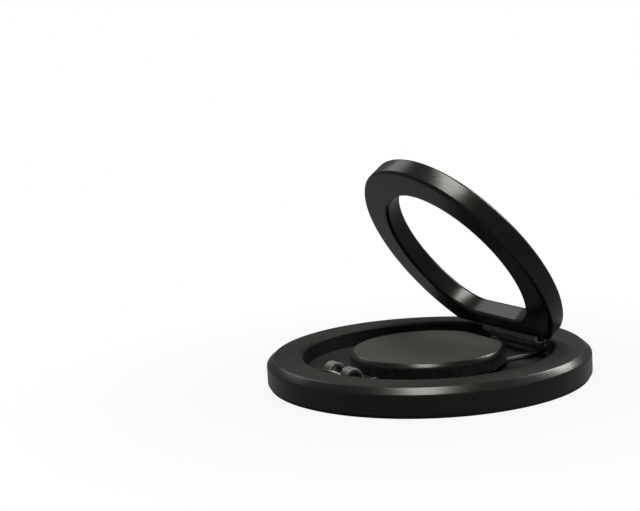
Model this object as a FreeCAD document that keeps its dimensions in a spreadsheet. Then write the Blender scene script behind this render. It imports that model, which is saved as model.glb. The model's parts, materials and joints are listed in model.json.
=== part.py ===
import FreeCAD, Part
import math
import os
from types import SimpleNamespace

import Sketcher

# Magnetic phone holder: a flat magnetic disc whose D-shaped ring folds out of a round recess and
# swivels with the hub. Millimetres, +Z up, origin in the middle of the face that meets the phone.
# The hinge runs along X on the +Y side. The ring is modelled folded flat about the hinge axis and
# then placed open.

SIZES = {
    # base: outer disc, recess, magnet channel and the pad that closes it
    "base_radius": 29.0,
    "base_height": 5.0,
    "rim_width": 6.5,
    "rim_bevel_width": 1.3,
    "rim_bevel_drop": 1.1,
    "recess_bevel": 0.4,
    "floor_thickness": 1.2,
    "channel_wall": 0.8,
    "pad_thickness": 0.6,
    "pad_inset": 0.3,
    # magnets and the steel ring behind them
    "magnet_width": 3.6,
    "magnet_height": 1.9,
    "magnet_play": 0.2,
    "magnet_spacing": 1.5,
    "shunt_thickness": 0.5,
    "shunt_play": 0.1,
    # swivel: post, sliding washer, spring and screw
    "post_radius": 4.0,
    "running_fit": 0.05,
    "thrust_thickness": 0.2,
    "thrust_inset": 0.7,
    "bore_play": 0.4,
    "spring_sheet": 0.3,
    "spring_inset": 0.2,
    "screw_radius": 1.25,
    "screw_skin": 0.5,
    "screw_tip_play": 0.1,
    "screw_head_radius": 6.4,
    "screw_head_height": 0.8,
    "screw_socket": 2.0,
    "screw_socket_depth": 0.5,
    # swivel plate and hub cap
    "plate_thickness": 0.6,
    "plate_inset": 0.8,
    "hub_gap": 1.9,
    "hub_flat_play": 0.8,
    "hub_rise": 0.3,
    "hub_bevel": 0.7,
    "hub_corner": 1.0,
    "hub_side_play": 0.8,
    "hub_head_play": 0.4,
    "stake_circle": 10.0,
    "stake_radius": 0.8,
    # hinge
    "hinge_inset": 3.1,
    "pin_radius": 0.7,
    "barrel_radius": 1.35,
    "barrel_length": 15.8,
    "bend_radius": 0.5,
    "knuckle_length": 9.4,
    "knuckle_play": 0.4,
    "friction_thickness": 0.2,
    "friction_rim": 0.1,
    "side_play": 0.05,
    # rolled rest on the far side of the plate, which the closed ring lies on
    "rest_gap": 2.2,
    "rest_radius": 1.6,
    "rest_leg": 1.3,
    "rest_tail": 0.9,
    "rest_length": 8.0,
    "rest_window": 3.6,
    "rest_sill": 0.4,
    # ring
    "ring_play": 0.7,
    "ring_band": 5.9,
    "ring_setback": 2.2,
    "ring_bar": 3.5,
    "ring_thickness": 3.8,
    "ring_lift": 0.1,
    "ring_clearance": 0.6,
    "ring_bevel": 0.4,
    "ring_corner": 1.5,
    "web_thickness": 1.5,
    "ring_opening": 54.0,
}
MAGNET_COUNT = 18
STAKE_COUNT = 2


class Size:
    """A length or angle, held with the spreadsheet expression that drives it."""

    def __init__(self, value, text):
        self.value = value
        self.text = text

    def joined(self, sign, other, value):
        """The result of a sum or product, with its expression in brackets."""
        text = other.text if isinstance(other, Size) else str(other)
        return Size(value, f"({self.text} {sign} {text})")

    def __add__(self, other):
        return self.joined("+", other, self.value + number(other))

    def __sub__(self, other):
        return self.joined("-", other, self.value - number(other))

    def __mul__(self, other):
        return self.joined("*", other, self.value * number(other))

    def __truediv__(self, other):
        return self.joined("/", other, self.value / number(other))

    def __neg__(self):
        return self * -1


def number(size):
    """The plain number of a size."""
    return size.value if isinstance(size, Size) else size


def make_sheet(document):
    """Writes the driving sizes to a spreadsheet and returns them as bound sizes."""
    sheet = document.addObject("Spreadsheet::Sheet", "Sizes")
    for row, (alias, value) in enumerate(SIZES.items(), start=1):
        sheet.set(f"A{row}", alias)
        sheet.set(f"B{row}", str(value))
        sheet.setAlias(f"B{row}", alias)
    document.recompute()
    return SimpleNamespace(**{a: Size(v, f"Sizes.{a}") for a, v in SIZES.items()})


def new_body(name):
    body = doc.addObject("PartDesign::Body", name)
    body.Label = name
    return body


def new_sketch(body, name, role, offset=None):
    """A sketch on one of the body's origin planes, raised by offset along its normal."""
    sketch = body.newObject("Sketcher::SketchObject", f"{body.Name}_{name}")
    plane = next(f for f in body.Origin.OriginFeatures if f.Role == role)
    sketch.AttachmentSupport = (plane, [""])
    sketch.MapMode = "FlatFace"
    if offset is not None:
        sketch.setExpression(".AttachmentOffset.Base.z", offset.text)
    return sketch


def bind(sketch, constraint, size):
    """Adds a constraint whose value follows a size."""
    index = sketch.addConstraint(constraint)
    sketch.setExpression(f"Constraints[{index}]", size.text)


def pin_point(sketch, geometry, end, x, y):
    """Holds one point of the sketch at x, y; a plain 0 puts it on that axis."""
    if x == 0 and y == 0:
        sketch.addConstraint(Sketcher.Constraint("Coincident", geometry, end, -1, 1))
        return
    for kind, axis, size in (("DistanceX", -2, x), ("DistanceY", -1, y)):
        if size == 0:
            sketch.addConstraint(Sketcher.Constraint("PointOnObject", geometry, end, axis))
        else:
            bind(sketch, Sketcher.Constraint(kind, geometry, end, size.value), size)


def polygon(sketch, points):
    """A closed outline of straight lines through points of sizes."""
    corners = [FreeCAD.Vector(number(x), number(y), 0) for x, y in points]
    lines = [sketch.addGeometry(Part.LineSegment(a, b))
             for a, b in zip(corners, corners[1:] + corners[:1])]
    for line, following, point in zip(lines, lines[1:] + lines[:1], points):
        sketch.addConstraint(Sketcher.Constraint("Coincident", line, 2, following, 1))
        pin_point(sketch, line, 1, *point)
    return sketch


def box(sketch, low_x, high_x, low_y, high_y):
    """A rectangle between two sizes each way."""
    return polygon(sketch, [(low_x, low_y), (high_x, low_y), (high_x, high_y), (low_x, high_y)])


def circle(sketch, radius, x=0, y=0):
    """A circle round the point x, y."""
    middle = FreeCAD.Vector(number(x), number(y), 0)
    geometry = sketch.addGeometry(Part.Circle(middle, FreeCAD.Vector(0, 0, 1), radius.value))
    pin_point(sketch, geometry, 3, x, y)
    bind(sketch, Sketcher.Constraint("Radius", geometry, radius.value), radius)
    return sketch


def d_outline(sketch, radius, flat, middle_y=0):
    """A circle cut off by a straight line, flat away from its middle on the +Y side."""
    start = math.asin(flat.value / radius.value)
    middle = FreeCAD.Vector(0, number(middle_y), 0)
    round_edge = Part.Circle(middle, FreeCAD.Vector(0, 0, 1), radius.value)
    arc = Part.ArcOfCircle(round_edge, math.pi - start, 2 * math.pi + start)
    bow = sketch.addGeometry(arc)
    chord = sketch.addGeometry(Part.LineSegment(arc.EndPoint, arc.StartPoint))
    sketch.addConstraint([
        Sketcher.Constraint("Coincident", bow, 2, chord, 1),
        Sketcher.Constraint("Coincident", chord, 2, bow, 1),
        Sketcher.Constraint("Horizontal", chord),
    ])
    pin_point(sketch, bow, 3, 0, middle_y)
    bind(sketch, Sketcher.Constraint("Radius", bow, radius.value), radius)
    height = flat + middle_y
    bind(sketch, Sketcher.Constraint("DistanceY", chord, 1, height.value), height)
    return sketch


def rolled_sheet(sketch, middle_x, middle_y, outer, sheet, tail_y, root_y):
    """A sheet that rises from its root, rolls over a half circle and hangs down to its tail."""
    inner = outer - sheet
    x, y = middle_x.value, middle_y.value
    middle = FreeCAD.Vector(x, y, 0)

    def spot(offset, height):
        return FreeCAD.Vector(x + offset, number(height), 0)

    def half_circle(radius):
        ring = Part.Circle(middle, FreeCAD.Vector(0, 0, 1), radius.value)
        return sketch.addGeometry(Part.ArcOfCircle(ring, 0, math.pi))

    def line(start, end):
        return sketch.addGeometry(Part.LineSegment(start, end))

    over, under = half_circle(outer), half_circle(inner)
    tail_out = line(spot(-outer.value, y), spot(-outer.value, tail_y))
    tail_end = line(spot(-outer.value, tail_y), spot(-inner.value, tail_y))
    tail_in = line(spot(-inner.value, tail_y), spot(-inner.value, y))
    root_in = line(spot(inner.value, y), spot(inner.value, root_y))
    root_end = line(spot(inner.value, root_y), spot(outer.value, root_y))
    root_out = line(spot(outer.value, root_y), spot(outer.value, y))
    chain = [(over, 2, tail_out, 1), (tail_out, 2, tail_end, 1), (tail_end, 2, tail_in, 1),
             (tail_in, 2, under, 2), (under, 1, root_in, 1), (root_in, 2, root_end, 1),
             (root_end, 2, root_out, 1), (root_out, 2, over, 1), (over, 3, under, 3)]
    sketch.addConstraint([Sketcher.Constraint("Coincident", *link) for link in chain])
    sketch.addConstraint([Sketcher.Constraint("Vertical", leg)
                          for leg in (tail_out, tail_in, root_in, root_out)])
    sketch.addConstraint([Sketcher.Constraint("Horizontal", end) for end in (tail_end, root_end)])
    pin_point(sketch, over, 3, middle_x, middle_y)
    for arc, radius in ((over, outer), (under, inner)):
        bind(sketch, Sketcher.Constraint("Radius", arc, radius.value), radius)
        for end in (1, 2):
            bind(sketch, Sketcher.Constraint("DistanceY", arc, end, y), middle_y)
    for end, height in ((tail_end, tail_y), (root_end, root_y)):
        bind(sketch, Sketcher.Constraint("DistanceY", end, 1, height.value), height)
    return sketch


def body_of(feature):
    return feature.getParentGeoFeatureGroup()


def pad(sketch, length, symmetric=False, downward=False):
    """Extrudes a sketch along its normal, both ways from it, or against it."""
    feature = body_of(sketch).newObject("PartDesign::Pad", f"{sketch.Name}_pad")
    feature.Profile = sketch
    feature.SideType = "Symmetric" if symmetric else "One side"
    feature.Reversed = downward
    feature.setExpression("Length", length.text)
    doc.recompute()
    return feature


def pocket(sketch, length, symmetric=False, upward=False):
    """Cuts a sketch out of its body and makes sure that something was cut."""
    body = body_of(sketch)
    before = body.Shape.Volume
    feature = body.newObject("PartDesign::Pocket", f"{sketch.Name}_cut")
    feature.Profile = sketch
    feature.SideType = "Symmetric" if symmetric else "One side"
    feature.Reversed = upward
    feature.setExpression("Length", length.text)
    doc.recompute()
    if body.Shape.Volume > before - 1e-4:
        raise RuntimeError(f"{feature.Name} cuts nothing")
    return feature


def revolve(sketch, angle=None):
    """Turns a sketch round the body's Z axis, all the way or through an angle about its middle."""
    feature = body_of(sketch).newObject("PartDesign::Revolution", f"{sketch.Name}_turned")
    feature.Profile = sketch
    feature.ReferenceAxis = (sketch, ["V_Axis"])
    feature.Angle = 360
    if angle is not None:
        feature.Midplane = True
        feature.setExpression("Angle", angle.text)
    doc.recompute()
    return feature


def polar_copies(feature, count):
    """Repeats a feature evenly round the body's Z axis."""
    body = body_of(feature)
    pattern = body.newObject("PartDesign::PolarPattern", f"{feature.Name}_round")
    pattern.Originals = [feature]
    axis = next(f for f in body.Origin.OriginFeatures if f.Role == "Z_Axis")
    pattern.Axis = (axis, [""])
    pattern.Angle = 360
    pattern.Occurrences = count
    body.Tip = pattern
    doc.recompute()
    return pattern


def dress(kind, feature, size, chosen):
    """A Fillet or Chamfer on the edges of a feature that the test picks out."""
    names = [f"Edge{i}" for i, edge in enumerate(feature.Shape.Edges, start=1) if chosen(edge)]
    dressed = body_of(feature).newObject(f"PartDesign::{kind}", f"{feature.Name}_{kind.lower()}")
    dressed.Base = (feature, names)
    dressed.setExpression("Radius" if kind == "Fillet" else "Size", size.text)
    doc.recompute()
    return dressed


def upright(edge):
    """True for a straight edge along Z."""
    return isinstance(edge.Curve, Part.Line) and abs(edge.tangentAt(edge.FirstParameter).z) > 0.99


def level_at(*heights):
    """A test for edges that lie level at one of the heights."""
    def test(edge):
        ends = edge.BoundBox.ZMin, edge.BoundBox.ZMax
        return any(max(abs(end - number(z)) for end in ends) < 1e-4 for z in heights)
    return test


def washer(name, inner, outer, low, high):
    """A flat round washer between two heights."""
    body = new_body(name)
    section = new_sketch(body, "section", "XZ_Plane")
    revolve(box(section, inner, outer, low, high))
    return body


def make_base():
    """The outer disc, with its recess, the magnet channel open below and the tapped swivel post."""
    body = new_body("base_shell")
    hole_end = screw_tip - d.screw_tip_play
    profile = [
        (0, d.pad_thickness), (channel_bore, d.pad_thickness),
        (channel_bore, shunt_top), (channel_radius, shunt_top), (channel_radius, d.pad_thickness),
        (d.base_radius, d.pad_thickness), (d.base_radius, d.base_height - d.rim_bevel_drop),
        (d.base_radius - d.rim_bevel_width, d.base_height),
        (recess_radius + d.recess_bevel, d.base_height),
        (recess_radius, d.base_height - d.recess_bevel), (recess_radius, floor),
        (d.post_radius, floor), (d.post_radius, post_top),
        (d.screw_radius, post_top), (d.screw_radius, hole_end), (0, hole_end),
    ]
    revolve(polygon(new_sketch(body, "profile", "XZ_Plane"), profile))
    soft = new_body("contact_pad")
    pad(circle(new_sketch(soft, "outline", "XY_Plane"), d.base_radius - d.pad_inset),
        d.pad_thickness)


def make_magnets():
    """The ring of arc magnets on the pad, and the steel ring that closes it on the far side."""
    inner = channel_bore + d.magnet_play
    pitch = 360 / MAGNET_COUNT
    for index in range(MAGNET_COUNT):
        body = new_body(f"magnet_{index + 1:02d}")
        section = new_sketch(body, "section", "XZ_Plane")
        box(section, inner, inner + d.magnet_width, d.pad_thickness, magnet_top)
        revolve(section, Size(pitch, str(pitch)) - d.magnet_spacing)
        body.Placement.Rotation = FreeCAD.Rotation(FreeCAD.Vector(0, 0, 1), index * pitch)
    washer("shunt_ring", channel_bore + d.shunt_play, channel_radius - d.shunt_play,
           magnet_top, shunt_top)


def make_swivel():
    """What holds the swivel plate down on the post: sliding washer, flat spring and wide screw."""
    bore = d.post_radius + d.bore_play
    washer("thrust_washer", bore, plate_radius - d.thrust_inset, floor, plate_bottom)
    washer("disc_spring", bore, d.screw_head_radius - d.spring_inset, plate_top, post_top)
    screw = new_body("pivot_screw")
    revolve(polygon(new_sketch(screw, "profile", "XZ_Plane"), [
        (0, screw_tip), (d.screw_radius, screw_tip), (d.screw_radius, post_top),
        (d.screw_head_radius, post_top), (d.screw_head_radius, head_top), (0, head_top)]))
    flat_half = d.screw_socket / 2
    corner = d.screw_socket / math.sqrt(3)
    socket = polygon(new_sketch(screw, "socket", "XY_Plane", head_top), [
        (corner, 0), (corner / 2, flat_half), (-(corner / 2), flat_half),
        (-corner, 0), (-(corner / 2), -flat_half), (corner / 2, -flat_half)])
    pocket(socket, d.screw_socket_depth)


def make_plate():
    """The stamped swivel plate, rolled into hinge knuckles at one end and a rest at the other."""
    body = new_body("swivel_plate")
    half_arm, half_rest = d.barrel_length / 2, d.rest_length / 2
    arm_end = hinge_reach + d.barrel_radius
    pad(circle(new_sketch(body, "disc", "XY_Plane", plate_bottom), plate_radius),
        d.plate_thickness)
    pad(box(new_sketch(body, "hinge_arm", "XY_Plane", plate_bottom), -half_arm, half_arm,
            d.post_radius, arm_end), d.plate_thickness)
    pad(box(new_sketch(body, "rest_arm", "XY_Plane", plate_bottom), -half_rest, half_rest,
            -(rest_reach - d.rest_radius + d.plate_thickness), -d.post_radius),
        d.plate_thickness)
    pad(box(new_sketch(body, "riser", "YZ_Plane"), arm_end - d.plate_thickness, arm_end,
            plate_bottom, hinge_height), d.barrel_length, symmetric=True)
    rolled = pad(circle(new_sketch(body, "barrel", "YZ_Plane"), d.barrel_radius,
                        hinge_reach, hinge_height), d.barrel_length, symmetric=True)

    def outer_bend(edge):
        spread = edge.BoundBox
        return (level_at(plate_bottom)(edge) and abs(spread.YMin - arm_end.value) < 1e-4
                and abs(spread.YMax - arm_end.value) < 1e-4)

    dress("Fillet", rolled, d.bend_radius, outer_bend)
    pocket(circle(new_sketch(body, "pin_hole", "YZ_Plane"), d.pin_radius,
                  hinge_reach, hinge_height), d.barrel_length * 2, symmetric=True)
    pocket(box(new_sketch(body, "knuckle_gap", "YZ_Plane"),
               hinge_reach - d.barrel_radius * 2, hinge_reach + d.barrel_radius * 2,
               hinge_height - d.barrel_radius - d.knuckle_play, hinge_height + d.barrel_radius * 2),
           ear_gap * 2, symmetric=True)
    pad(rolled_sheet(new_sketch(body, "rest", "YZ_Plane"), -rest_reach, rest_middle,
                     d.rest_radius, d.plate_thickness, rest_middle - d.rest_tail, plate_bottom),
        d.rest_length, symmetric=True)
    pocket(box(new_sketch(body, "window", "YZ_Plane"), -(rest_reach + d.rest_radius * 2),
               -(rest_reach - d.rest_radius * 2), rest_middle + d.rest_sill,
               rest_middle + d.rest_radius * 2), d.rest_window, symmetric=True)
    pocket(circle(new_sketch(body, "bore", "XY_Plane", plate_top), d.post_radius + d.running_fit),
           d.plate_thickness)
    hole = circle(new_sketch(body, "stake_hole", "XY_Plane", plate_top), d.stake_radius,
                  d.stake_circle, 0)
    polar_copies(pocket(hole, d.plate_thickness), STAKE_COUNT)


def make_hub():
    """The cap over the swivel, a D-shaped block hollow round the screw and staked to the plate."""
    body = new_body("hub_cap")
    block = pad(d_outline(new_sketch(body, "outline", "XY_Plane", plate_top), hub_radius, hub_flat),
                hub_top - plate_top)
    block = dress("Fillet", block, d.hub_corner, upright)
    dress("Chamfer", block, d.hub_bevel, level_at(hub_top))
    pocket(circle(new_sketch(body, "hollow", "XY_Plane", plate_top),
                  d.screw_head_radius + d.hub_side_play),
           head_top + d.hub_head_play - plate_top, upward=True)
    stake = pad(circle(new_sketch(body, "stake", "XY_Plane", plate_top), d.stake_radius,
                       d.stake_circle, 0), d.plate_thickness, downward=True)
    polar_copies(stake, STAKE_COUNT)


def make_hinge():
    """The pin through the barrel, and a friction washer on each side of the ring's knuckle."""
    pin = new_body("hinge_pin")
    pad(circle(new_sketch(pin, "section", "YZ_Plane"), d.pin_radius, hinge_reach, hinge_height),
        d.barrel_length, symmetric=True)
    inner_face = d.knuckle_length / 2 + d.side_play
    for name, offset in (("friction_washer_1", inner_face),
                         ("friction_washer_2", -(inner_face + d.friction_thickness))):
        disc = new_body(name)
        section = new_sketch(disc, "section", "YZ_Plane", offset)
        circle(section, d.barrel_radius - d.friction_rim, hinge_reach, hinge_height)
        circle(section, d.pin_radius + d.running_fit, hinge_reach, hinge_height)
        pad(section, d.friction_thickness)


def make_ring():
    """The folding ring, drawn flat with its hinge axis on X and then placed open."""
    body = new_body("fold_ring")
    half = d.ring_thickness / 2
    outline = new_sketch(body, "outline", "XY_Plane", d.ring_lift)
    flat = hinge_reach - d.ring_setback
    d_outline(outline, ring_radius, flat, -hinge_reach)
    d_outline(outline, ring_bore, flat - d.ring_bar, -hinge_reach)
    slab = pad(outline, d.ring_thickness, symmetric=True)
    rounded = dress("Fillet", slab, d.ring_corner, upright)
    dress("Chamfer", rounded, d.ring_bevel, level_at(d.ring_lift + half, d.ring_lift - half))
    pad(circle(new_sketch(body, "knuckle", "YZ_Plane"), d.barrel_radius), d.knuckle_length,
        symmetric=True)
    web_half = d.web_thickness / 2
    pad(box(new_sketch(body, "web", "YZ_Plane"), -(d.ring_setback + d.ring_bar / 2), -d.pin_radius,
            -web_half, web_half), d.knuckle_length, symmetric=True)
    pocket(circle(new_sketch(body, "bore", "YZ_Plane"), d.pin_radius + d.running_fit),
           d.barrel_length, symmetric=True)
    body.Placement.Rotation = FreeCAD.Rotation(FreeCAD.Vector(1, 0, 0), -d.ring_opening.value)
    body.setExpression(".Placement.Base.y", hinge_reach.text)
    body.setExpression(".Placement.Base.z", hinge_height.text)
    body.setExpression(".Placement.Rotation.Angle", (-d.ring_opening).text)


def check_and_write():
    """Stops on any failed feature or bad solid, then writes one file per sub-part."""
    doc.recompute()
    failed = [o.Name for o in doc.Objects if {"Invalid", "Error"} & set(o.State)]
    bodies = [o for o in doc.Objects if o.TypeId == "PartDesign::Body"]
    failed += [b.Label for b in bodies if b.Shape.isNull() or not b.Shape.isValid()]
    if failed:
        raise RuntimeError("failed: " + ", ".join(failed))
    os.makedirs("parts", exist_ok=True)
    for body in bodies:
        body.Shape.exportStep(f"parts/{body.Label}.step")


doc = FreeCAD.newDocument("magnetic_phone_holder")
d = make_sheet(doc)

# Radii that several pieces share, from the rim inward.
recess_radius = d.base_radius - d.rim_width
channel_bore = recess_radius + d.channel_wall
channel_radius = channel_bore + d.magnet_width + d.magnet_play * 2
ring_radius = recess_radius - d.ring_play
ring_bore = ring_radius - d.ring_band
hub_radius = ring_bore - d.hub_gap
plate_radius = hub_radius - d.plate_inset
hinge_reach = recess_radius - d.hinge_inset
hub_flat = hinge_reach - d.ring_setback - d.ring_bar - d.hub_flat_play
rest_reach = hub_radius + d.rest_gap + d.rest_radius
ear_gap = d.knuckle_length / 2 + d.friction_thickness + d.side_play * 2

# Heights that several pieces share, from the phone's side upward.
magnet_top = d.pad_thickness + d.magnet_height
shunt_top = magnet_top + d.shunt_thickness
floor = d.pad_thickness + d.floor_thickness
plate_bottom = floor + d.thrust_thickness
plate_top = plate_bottom + d.plate_thickness
post_top = plate_top + d.spring_sheet
head_top = post_top + d.screw_head_height
screw_tip = d.pad_thickness + d.screw_skin + d.screw_tip_play
hub_top = d.base_height + d.hub_rise
rest_middle = plate_bottom + d.rest_leg
hinge_height = plate_top + d.ring_clearance + d.ring_thickness / 2 - d.ring_lift

make_base()
make_magnets()
make_swivel()
make_plate()
make_hub()
make_hinge()
make_ring()
check_and_write()
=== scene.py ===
import json
import logging
import math
from abc import ABC, abstractmethod
from dataclasses import dataclass
from enum import Enum
from typing import Sequence

import bmesh
import bpy
import numpy as np
from mathutils import Matrix, Vector


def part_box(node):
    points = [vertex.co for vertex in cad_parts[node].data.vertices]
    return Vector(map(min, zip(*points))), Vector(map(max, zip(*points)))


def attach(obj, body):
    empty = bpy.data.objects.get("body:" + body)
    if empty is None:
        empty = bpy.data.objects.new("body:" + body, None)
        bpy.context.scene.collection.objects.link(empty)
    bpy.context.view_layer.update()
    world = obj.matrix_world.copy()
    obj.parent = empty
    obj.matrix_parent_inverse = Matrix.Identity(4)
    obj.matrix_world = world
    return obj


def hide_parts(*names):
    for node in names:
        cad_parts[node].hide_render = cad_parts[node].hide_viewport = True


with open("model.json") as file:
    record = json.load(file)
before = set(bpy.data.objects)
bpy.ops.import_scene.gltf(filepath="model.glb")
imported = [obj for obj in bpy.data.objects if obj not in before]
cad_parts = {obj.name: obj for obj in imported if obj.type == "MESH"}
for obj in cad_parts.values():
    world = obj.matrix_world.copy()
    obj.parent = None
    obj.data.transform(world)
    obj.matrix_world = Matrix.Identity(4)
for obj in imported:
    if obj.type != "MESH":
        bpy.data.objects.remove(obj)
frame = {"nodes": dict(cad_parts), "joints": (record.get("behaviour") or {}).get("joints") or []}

log = logging.getLogger("phone_holder")

Array = np.ndarray
Colour = tuple[float, float, float]
Triple = tuple[float, float, float]
Pair = tuple[float, float]
Node = bpy.types.Node
Socket = bpy.types.NodeSocket

# Lengths are in metres and angles in degrees.
MM = 0.001
IMAGE_WIDTH, IMAGE_HEIGHT = 640, 511
SENSOR_MM = 36.0
EDGE_BEND = "edge_bend"
MERGE_DISTANCE = 0.0005 * MM
SLIVER_SIZE = 0.0002 * MM
SHEET_THICKNESS = 0.6 * MM
BARREL_RADIUS = 1.35 * MM
CREASE = 32.0
CURVE_POINTS = 6
FLAT_POINTS, CORNER_POINTS, ROUND_POINTS = 25, 13, 201
DISC_STEPS = 288
WHITE = (1.0, 1.0, 1.0)


class Turn(Enum):
    """The axis that a profile is turned about."""

    UPRIGHT = "Z"
    HINGE = "X"


class Ray(Enum):
    """Light paths that are shown the white surroundings, whole or in part."""

    CAMERA = "Is Camera Ray"
    GLOSSY = "Is Glossy Ray"
    TRANSMISSION = "Is Transmission Ray"


# Surfaces


@dataclass(frozen=True)
class Patch:
    """A grid of points, with rows along one parameter and columns along the other.

    Attributes:
        points: The grid, of shape rows, columns, 3.
        wrap_rows: Joins the last row to the first.
        wrap_columns: Joins the last column to the first.
    """

    points: Array
    wrap_rows: bool = False
    wrap_columns: bool = False

    def quads(self, first: int) -> Array:
        """The grid's four-cornered faces, for points numbered from first.

        Args:
            first: Number of the grid's first point in the mesh.

        Returns:
            One row of four point numbers for each face.
        """
        rows, columns = self.points.shape[:2]
        row = np.arange(rows if self.wrap_rows else rows - 1)[:, None]
        column = np.arange(columns if self.wrap_columns else columns - 1)[None, :]
        row_after, column_after = (row + 1) % rows, (column + 1) % columns
        corners = np.broadcast_arrays(
            row * columns + column,
            row * columns + column_after,
            row_after * columns + column_after,
            row_after * columns + column,
        )
        return np.stack(corners, -1).reshape(-1, 4) + first

    def moved(self, place: Matrix) -> "Patch":
        """The same grid, turned and shifted by a matrix."""
        turn = np.array(place.to_3x3())
        points = self.points @ turn.T + np.array(place.translation)
        return Patch(points, self.wrap_rows, self.wrap_columns)


def unit(vectors: Array) -> Array:
    """Vectors brought to length 1; a vector without length stays as it is."""
    length = np.linalg.norm(vectors, axis=-1, keepdims=True)
    return vectors / np.where(length > 1e-12, length, 1.0)


def rounded(corners: Sequence[Pair], radii: Sequence[float], closed: bool = False) -> Array:
    """Rounds the corners of a line.

    Each corner gives way to a quadratic curve that leaves and meets the two lines a radius away from
    the corner: (1 - t)^2 start + 2 t (1 - t) corner + t^2 end.

    Args:
        corners: The line's corners, in order.
        radii: How far from each corner its curve starts and ends.
        closed: Joins the last corner to the first.

    Returns:
        The points of the rounded line, one row each.
    """
    at = np.asarray(corners, float)
    before, after = np.roll(at, 1, 0), np.roll(at, -1, 0)
    if not closed:
        before[0], after[-1] = at[0], at[-1]
    reach = np.asarray(radii, float)[:, None]
    start = (at + reach * unit(before - at))[:, None]
    end = (at + reach * unit(after - at))[:, None]
    t = np.linspace(0.0, 1.0, CURVE_POINTS)[None, :, None]
    curves = (1 - t) ** 2 * start + 2 * t * (1 - t) * at[:, None] + t ** 2 * end
    return curves.reshape(-1, at.shape[1])


def turned(profile: Array, axis: Turn = Turn.UPRIGHT, steps: int = 224, closed: bool = False) -> Patch:
    """Turns a profile about an axis: each point (r, h) runs round the circle of radius r at h.

    Args:
        profile: Points of radius and height along the axis.
        axis: The axis to turn about.
        steps: Points on each circle.
        closed: Joins the profile's end to its start, for a piece with a hole on the axis.

    Returns:
        The turned surface.
    """
    angle = np.linspace(0.0, 2 * math.pi, steps, endpoint=False)[:, None]
    radius, along = profile[:, 0][None, :], profile[:, 1][None, :]
    across = np.broadcast_arrays(radius * np.cos(angle), radius * np.sin(angle), along + 0 * angle)
    order = (0, 1, 2) if axis is Turn.UPRIGHT else (2, 0, 1)
    return Patch(np.stack([across[i] for i in order], -1), True, closed)


def capped(points: Array) -> Patch:
    """A surface through closed outlines, with each end drawn in to the mean of its points."""
    ends = [np.broadcast_to(points[i].mean(0), points[i].shape)[None] for i in (0, -1)]
    return Patch(np.concatenate([ends[0], points, ends[1]]), False, True)


def loops(rings: Array, heights: Array, poles: bool = True) -> Patch:
    """Stacks closed outlines at their heights, and draws each end in to its middle.

    Args:
        rings: Outlines of shape count, points, 2.
        heights: One height for each outline.
        poles: Closes both ends with a fan; otherwise the last outline joins the first.

    Returns:
        The surface through the outlines.
    """
    lift = np.broadcast_to(np.asarray(heights, float)[:, None, None], rings.shape[:2] + (1,))
    points = np.concatenate([rings, lift], -1)
    return capped(points) if poles else Patch(points, True, True)


def bent_strip(path: Array, low_x: float, high_x: float, sheet: float, edge: float) -> Patch:
    """Carries the rounded section of a metal sheet along a path in the YZ plane.

    A point of the section lies at path + normal * depth, where depth runs through the sheet, and at x
    between the strip's two sides. One more point stands a short way in from every edge and both ends,
    so that wear and painted highlight on the edges don't spread over the flats.

    Args:
        path: Points of the sheet's middle, as y and z.
        low_x: One side of the strip.
        high_x: Its other side.
        sheet: Thickness of the sheet.
        edge: Rounding of its long edges.

    Returns:
        The closed strip.
    """
    half, margin = sheet / 2, 2 * edge
    near, far = low_x + margin, high_x - margin
    section = rounded([(low_x, -half), (near, -half), (far, -half), (high_x, -half),
                       (high_x, half), (far, half), (near, half), (low_x, half)],
                      [edge, 0, 0, edge] * 2, closed=True)
    steps = np.stack([path[1] - path[0], path[-2] - path[-1]])
    inward = unit(steps) * np.minimum(margin, np.linalg.norm(steps, axis=1, keepdims=True) / 3)
    path = np.concatenate([path[:1], path[:1] + inward[:1], path[1:-1],
                           path[-1:] + inward[1:], path[-1:]])
    along = unit(np.gradient(path, axis=0))
    normal = np.stack([-along[:, 1], along[:, 0]], -1)
    flat = path[:, None, :] + normal[:, None, :] * section[None, :, 1:]
    side = np.broadcast_to(section[None, :, :1], flat.shape[:2] + (1,))
    return capped(np.concatenate([side, flat], -1))


def arc_path(middle: Pair, radius: float, start: float, end: float, steps: int) -> Array:
    """Points on a circle in a plane: middle + radius (cos a, sin a), from start to end."""
    angle = np.radians(np.linspace(start, end, steps))
    return np.asarray(middle) + radius * np.stack([np.cos(angle), np.sin(angle)], -1)


def d_outline(radius: float, flat: float, corner: float) -> Array:
    """The outline of a disc with one flat side towards +Y and rounded corners beside the flat.

    A corner's middle lies a corner radius inside both the flat and the round side. Every outline has
    equally many points, so that outlines of different size match point for point.

    Args:
        radius: Radius of the round side.
        flat: Distance of the flat from the middle.
        corner: Radius of the corners.

    Returns:
        The outline's points, anticlockwise from the flat's +X end.
    """
    middle_y = flat - corner
    middle_x = math.sqrt((radius - corner) ** 2 - middle_y ** 2)
    lean = math.degrees(math.atan2(middle_y, middle_x))
    pieces = [
        np.linspace((middle_x, flat), (-middle_x, flat), FLAT_POINTS)[:-1],
        arc_path((-middle_x, middle_y), corner, 90, 180 - lean, CORNER_POINTS)[:-1],
        arc_path((0, 0), radius, 180 - lean, 360 + lean, ROUND_POINTS)[:-1],
        arc_path((middle_x, middle_y), corner, lean, 90, CORNER_POINTS)[:-1],
    ]
    return np.concatenate(pieces)


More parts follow.
